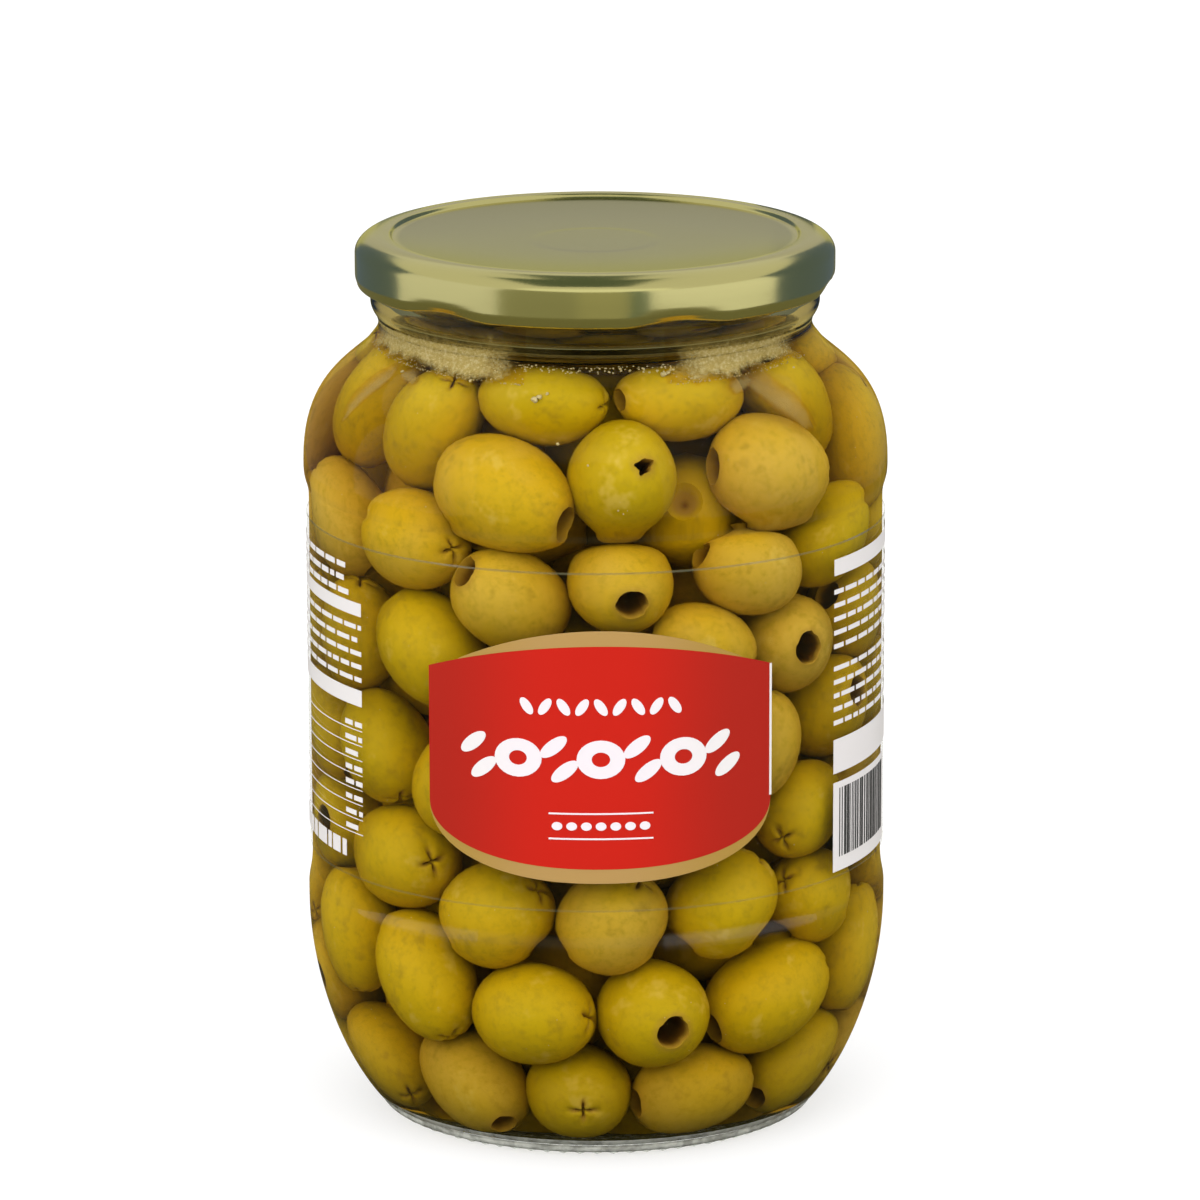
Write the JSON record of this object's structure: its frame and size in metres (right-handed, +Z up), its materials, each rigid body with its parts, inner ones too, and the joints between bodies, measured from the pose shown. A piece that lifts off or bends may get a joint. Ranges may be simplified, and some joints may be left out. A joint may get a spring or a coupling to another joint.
{
  "type": "jar of olives",
  "caption": "Shut clear glass jar with a pale gold lug cap and a wrap-round film label, filled with pitted green olives in brine.",
  "frame": {"origin": "middle of the jar's foot ring, on the surface that the jar stands on", "axes": "+Z up along the jar's axis; the front of the label faces -Y; +X is to the right seen from the front"},
  "size_m": [0.106, 0.106, 0.162],
  "materials": {
    "glass": "clear flint glass, smooth",
    "cap_tin": "pale gold lacquered tinplate, satin",
    "olive_flesh": "wet skin of a green olive",
    "clear_film": "clear film",
    "print_red": "printed film, smooth",
    "print_white": "printed film, smooth",
    "print_dark": "printed film, smooth",
    "print_tan": "printed film, smooth"
  },
  "bodies": {
    "root": {"jar_glass": "glass", "lid": "cap_tin", "olives": "olive_flesh", "label_film": "clear_film", "label_field": "print_red", "label_band_top": "print_tan", "label_band_bottom": "print_tan"}
  },
  "joints": []
}
